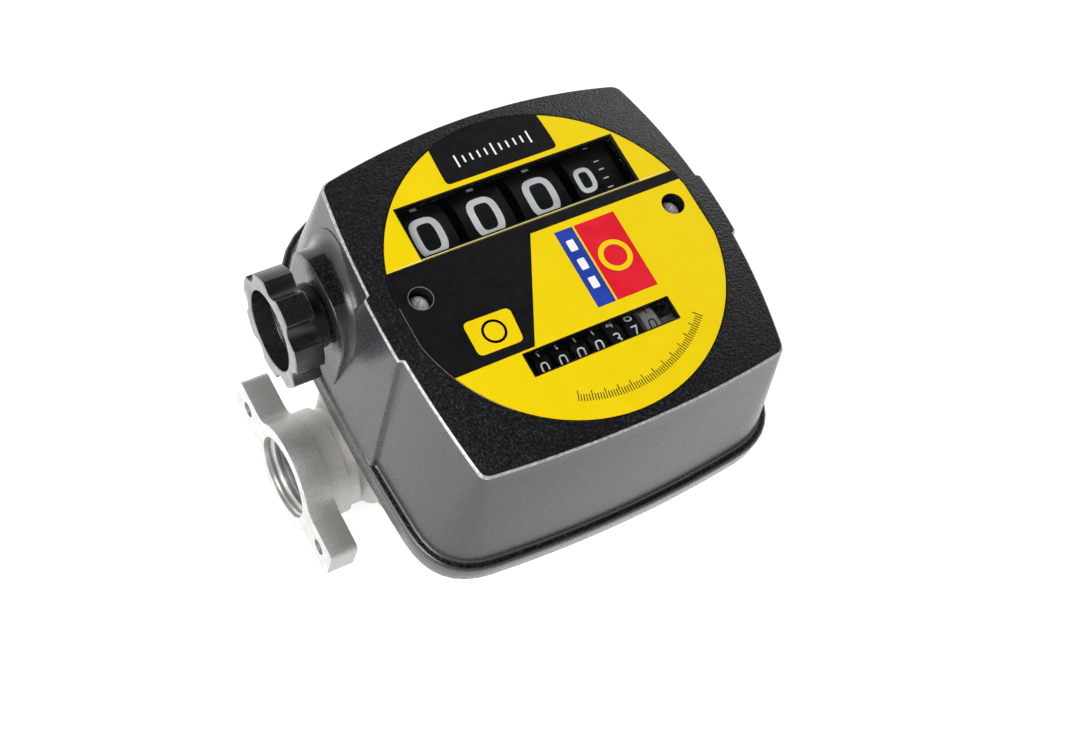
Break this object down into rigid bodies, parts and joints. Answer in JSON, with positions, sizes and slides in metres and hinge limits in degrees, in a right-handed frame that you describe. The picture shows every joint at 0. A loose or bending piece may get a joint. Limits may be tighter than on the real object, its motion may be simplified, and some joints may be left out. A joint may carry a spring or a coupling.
{
  "type": "mechanical flow meter",
  "caption": "Mechanical flow meter: nutating-disc body with two flanged threaded ports, a domed dial cover, a resettable register, a totaliser and a side reset knob.",
  "frame": {"origin": "centre of the flat back face that the meter rests on", "axes": "+Z out of the dial, +Y to the top of the dial, +X along the flow from inlet to outlet"},
  "size_m": [0.1932, 0.1608, 0.132],
  "materials": {
    "cast_aluminium": "bead-blasted casting, machined port faces",
    "black_paint": "fine textured black powder coat",
    "zinc_steel": "bright zinc plate",
    "black_rubber": "moulded nitrile rubber",
    "gasket_fibre": "cut gasket sheet",
    "strainer_steel": "perforated stainless sheet",
    "chamber_resin": "moulded acetal",
    "disc_resin": "moulded phenolic",
    "brass": "turned brass",
    "dial_print": "printed dial, yellow and black",
    "clear_window": "clear moulded window",
    "black_nylon": "satin moulded nylon",
    "frame_steel": "zinc plated pressed steel",
    "shaft_steel": "ground steel",
    "gear_acetal": "moulded acetal",
    "wheel_black": "black moulding with printed numbers",
    "wheel_grey": "grey moulding with printed numbers",
    "pinion_white": "moulded acetal"
  },
  "bodies": {
    "housing": {"meter_body": "cast_aluminium", "back_cover": "cast_aluminium", "back_cover_screws": "zinc_steel", "back_cover_seal": "black_rubber", "inlet_strainer": "strainer_steel", "chamber_base": "chamber_resin", "chamber_lid": "chamber_resin", "chamber_partition": "strainer_steel", "chamber_port_seal": "black_rubber", "shaft_bush": "brass", "shaft_seal": "black_rubber", "cover_gasket": "gasket_fibre", "front_cover": "black_paint", "cover_screws": "zinc_steel", "dial_plate": "dial_print", "window_panes": "clear_window", "knob_bush": "black_nylon", "register_frame_left": "frame_steel", "register_frame_right": "frame_steel", "frame_tie_bars": "shaft_steel", "frame_screws": "zinc_steel", "pinion_shafts": "shaft_steel", "totaliser_shaft": "shaft_steel", "gear_studs": "shaft_steel", "calibration_plug": "zinc_steel"},
    "crank": {"drive_crank": "shaft_steel", "drive_shaft": "shaft_steel"},
    "disc": {"nutating_disc": "disc_resin", "disc_spindle": "shaft_steel"},
    "intermediate": {"intermediate_gear": "gear_acetal"},
    "output": {"output_gear": "gear_acetal"},
    "cross": {"cross_shaft": "shaft_steel", "bevel_gear": "brass", "register_drive_pinion": "gear_acetal"},
    "register_idler": {"register_idler": "gear_acetal"},
    "totaliser_idler": {"totaliser_idler": "gear_acetal"},
    "knob": {"reset_knob": "black_nylon", "knob_shaft": "shaft_steel"},
    "reset_shaft": {"register_shaft": "shaft_steel"},
    "calibration": {"calibration_screw": "brass"},
    "register_1": {"register_wheel_1": "wheel_black"},
    "register_2": {"register_wheel_2": "wheel_black"},
    "register_3": {"register_wheel_3": "wheel_black"},
    "register_4": {"register_wheel_4": "wheel_black"},
    "register_pinion_1": {"transfer_pinion_1": "pinion_white"},
    "register_pinion_2": {"transfer_pinion_2": "pinion_white"},
    "register_pinion_3": {"transfer_pinion_3": "pinion_white"},
    "totaliser_1": {"totaliser_wheel_1": "wheel_grey"},
    "totaliser_2": {"totaliser_wheel_2": "wheel_black"},
    "totaliser_3": {"totaliser_wheel_3": "wheel_black"},
    "totaliser_4": {"totaliser_wheel_4": "wheel_black"},
    "totaliser_5": {"totaliser_wheel_5": "wheel_black"},
    "totaliser_6": {"totaliser_wheel_6": "wheel_black"},
    "totaliser_7": {"totaliser_wheel_7": "wheel_black"},
    "totaliser_pinion_1": {"totaliser_pinion_1": "pinion_white"},
    "totaliser_pinion_2": {"totaliser_pinion_2": "pinion_white"},
    "totaliser_pinion_3": {"totaliser_pinion_3": "pinion_white"},
    "totaliser_pinion_4": {"totaliser_pinion_4": "pinion_white"},
    "totaliser_pinion_5": {"totaliser_pinion_5": "pinion_white"},
    "totaliser_pinion_6": {"totaliser_pinion_6": "pinion_white"}
  },
  "joints": [
    {"name": "crank_turn", "type": "hinge", "parent": "housing", "child": "crank", "pos_m": [0, 0, 0.0295], "axis": [0, 0, 1], "continuous": true},
    {"name": "disc_nutation", "type": "hinge", "parent": "crank", "child": "disc", "pos_m": [0, 0, 0.0295], "axis": [-0.2243, 0.0906, 0.9703], "continuous": true},
    {"name": "intermediate_turn", "type": "hinge", "parent": "housing", "child": "intermediate", "pos_m": [-0.01909, -0.01909, 0.065], "axis": [0, 0, 1], "continuous": true},
    {"name": "output_turn", "type": "hinge", "parent": "housing", "child": "output", "pos_m": [0.00742, -0.014, 0.067], "axis": [0, 0, 1], "continuous": true},
    {"name": "cross_turn", "type": "hinge", "parent": "housing", "child": "cross", "pos_m": [0, -0.014, 0.087], "axis": [1, 0, 0], "continuous": true},
    {"name": "register_1_turn", "type": "hinge", "parent": "housing", "child": "register_1", "pos_m": [0.0327, 0.0293, 0.0984], "axis": [1, 0, 0], "continuous": true},
    {"name": "register_2_turn", "type": "hinge", "parent": "housing", "child": "register_2", "pos_m": [0.0096, 0.0293, 0.0984], "axis": [1, 0, 0], "continuous": true},
    {"name": "register_3_turn", "type": "hinge", "parent": "housing", "child": "register_3", "pos_m": [-0.0135, 0.0293, 0.0984], "axis": [1, 0, 0], "continuous": true},
    {"name": "register_4_turn", "type": "hinge", "parent": "housing", "child": "register_4", "pos_m": [-0.0366, 0.0293, 0.0984], "axis": [1, 0, 0], "continuous": true},
    {"name": "register_pinion_1_turn", "type": "hinge", "parent": "housing", "child": "register_pinion_1", "pos_m": [0.02115, -0.00113, 0.10829], "axis": [1, 0, 0], "continuous": true},
    {"name": "register_pinion_2_turn", "type": "hinge", "parent": "housing", "child": "register_pinion_2", "pos_m": [-0.00195, -0.00113, 0.10829], "axis": [1, 0, 0], "continuous": true},
    {"name": "register_pinion_3_turn", "type": "hinge", "parent": "housing", "child": "register_pinion_3", "pos_m": [-0.02505, -0.00113, 0.10829], "axis": [1, 0, 0], "continuous": true},
    {"name": "register_idler_turn", "type": "hinge", "parent": "housing", "child": "register_idler", "pos_m": [0.044, 0.00227, 0.08282], "axis": [1, 0, 0], "continuous": true},
    {"name": "totaliser_idler_turn", "type": "hinge", "parent": "housing", "child": "totaliser_idler", "pos_m": [0.042, -0.02139, 0.1073], "axis": [1, 0, 0], "continuous": true},
    {"name": "totaliser_1_turn", "type": "hinge", "parent": "housing", "child": "totaliser_1", "pos_m": [0.0212, -0.032, 0.1179], "axis": [1, 0, 0], "continuous": true},
    {"name": "totaliser_2_turn", "type": "hinge", "parent": "housing", "child": "totaliser_2", "pos_m": [0.01377, -0.032, 0.1179], "axis": [1, 0, 0], "continuous": true},
    {"name": "totaliser_3_turn", "type": "hinge", "parent": "housing", "child": "totaliser_3", "pos_m": [0.00634, -0.032, 0.1179], "axis": [1, 0, 0], "continuous": true},
    {"name": "totaliser_4_turn", "type": "hinge", "parent": "housing", "child": "totaliser_4", "pos_m": [-0.00109, -0.032, 0.1179], "axis": [1, 0, 0], "continuous": true},
    {"name": "totaliser_5_turn", "type": "hinge", "parent": "housing", "child": "totaliser_5", "pos_m": [-0.00852, -0.032, 0.1179], "axis": [1, 0, 0], "continuous": true},
    {"name": "totaliser_6_turn", "type": "hinge", "parent": "housing", "child": "totaliser_6", "pos_m": [-0.01595, -0.032, 0.1179], "axis": [1, 0, 0], "continuous": true},
    {"name": "totaliser_7_turn", "type": "hinge", "parent": "housing", "child": "totaliser_7", "pos_m": [-0.02338, -0.032, 0.1179], "axis": [1, 0, 0], "continuous": true},
    {"name": "totaliser_pinion_1_turn", "type": "hinge", "parent": "housing", "child": "totaliser_pinion_1", "pos_m": [0.01749, -0.04034, 0.10956], "axis": [1, 0, 0], "continuous": true},
    {"name": "totaliser_pinion_2_turn", "type": "hinge", "parent": "housing", "child": "totaliser_pinion_2", "pos_m": [0.01005, -0.04034, 0.10956], "axis": [1, 0, 0], "continuous": true},
    {"name": "totaliser_pinion_3_turn", "type": "hinge", "parent": "housing", "child": "totaliser_pinion_3", "pos_m": [0.00263, -0.04034, 0.10956], "axis": [1, 0, 0], "continuous": true},
    {"name": "totaliser_pinion_4_turn", "type": "hinge", "parent": "housing", "child": "totaliser_pinion_4", "pos_m": [-0.00481, -0.04034, 0.10956], "axis": [1, 0, 0], "continuous": true},
    {"name": "totaliser_pinion_5_turn", "type": "hinge", "parent": "housing", "child": "totaliser_pinion_5", "pos_m": [-0.01223, -0.04034, 0.10956], "axis": [1, 0, 0], "continuous": true},
    {"name": "totaliser_pinion_6_turn", "type": "hinge", "parent": "housing", "child": "totaliser_pinion_6", "pos_m": [-0.01966, -0.04034, 0.10956], "axis": [1, 0, 0], "continuous": true},
    {"name": "knob_turn", "type": "hinge", "parent": "housing", "child": "knob", "pos_m": [-0.091, 0.0247, 0.10614], "axis": [1, 0, 0], "continuous": true},
    {"name": "reset_shaft_turn", "type": "hinge", "parent": "housing", "child": "reset_shaft", "pos_m": [-0.05, 0.0293, 0.0984], "axis": [1, 0, 0], "continuous": true},
    {"name": "calibration_turn", "type": "hinge", "parent": "housing", "child": "calibration", "pos_m": [0.034, -0.047, 0.0295], "axis": [0, 1, 0], "range_deg": [-360, 360]}
  ],
  "couplings": [
    {"joint": "disc_nutation", "follows": "crank_turn", "ratio": -1},
    {"joint": "intermediate_turn", "follows": "crank_turn", "ratio": -0.28571},
    {"joint": "output_turn", "follows": "crank_turn", "ratio": 0.081633},
    {"joint": "cross_turn", "follows": "crank_turn", "ratio": 0.040816},
    {"joint": "register_1_turn", "follows": "crank_turn", "ratio": 0.016327},
    {"joint": "register_2_turn", "follows": "crank_turn", "ratio": 0.0016327},
    {"joint": "register_3_turn", "follows": "crank_turn", "ratio": 0.00016327},
    {"joint": "register_4_turn", "follows": "crank_turn", "ratio": 0.000016327},
    {"joint": "register_pinion_1_turn", "follows": "crank_turn", "ratio": -0.0040816},
    {"joint": "register_pinion_2_turn", "follows": "crank_turn", "ratio": -0.00040816},
    {"joint": "register_pinion_3_turn", "follows": "crank_turn", "ratio": -0.000040816},
    {"joint": "register_idler_turn", "follows": "crank_turn", "ratio": -0.054422},
    {"joint": "totaliser_idler_turn", "follows": "crank_turn", "ratio": -0.032653},
    {"joint": "totaliser_1_turn", "follows": "crank_turn", "ratio": 0.016327},
    {"joint": "totaliser_2_turn", "follows": "crank_turn", "ratio": 0.0016327},
    {"joint": "totaliser_3_turn", "follows": "crank_turn", "ratio": 0.00016327},
    {"joint": "totaliser_4_turn", "follows": "crank_turn", "ratio": 0.000016327},
    {"joint": "totaliser_5_turn", "follows": "crank_turn", "ratio": 0.0000016327},
    {"joint": "totaliser_6_turn", "follows": "crank_turn", "ratio": 0.0000001633},
    {"joint": "totaliser_7_turn", "follows": "crank_turn", "ratio": 0.0000000163},
    {"joint": "totaliser_pinion_1_turn", "follows": "crank_turn", "ratio": -0.0040816},
    {"joint": "totaliser_pinion_2_turn", "follows": "crank_turn", "ratio": -0.00040816},
    {"joint": "totaliser_pinion_3_turn", "follows": "crank_turn", "ratio": -0.000040816},
    {"joint": "totaliser_pinion_4_turn", "follows": "crank_turn", "ratio": -0.0000040816},
    {"joint": "totaliser_pinion_5_turn", "follows": "crank_turn", "ratio": -0.0000004082},
    {"joint": "totaliser_pinion_6_turn", "follows": "crank_turn", "ratio": -0.0000000408},
    {"joint": "reset_shaft_turn", "follows": "knob_turn", "ratio": -1}
  ]
}
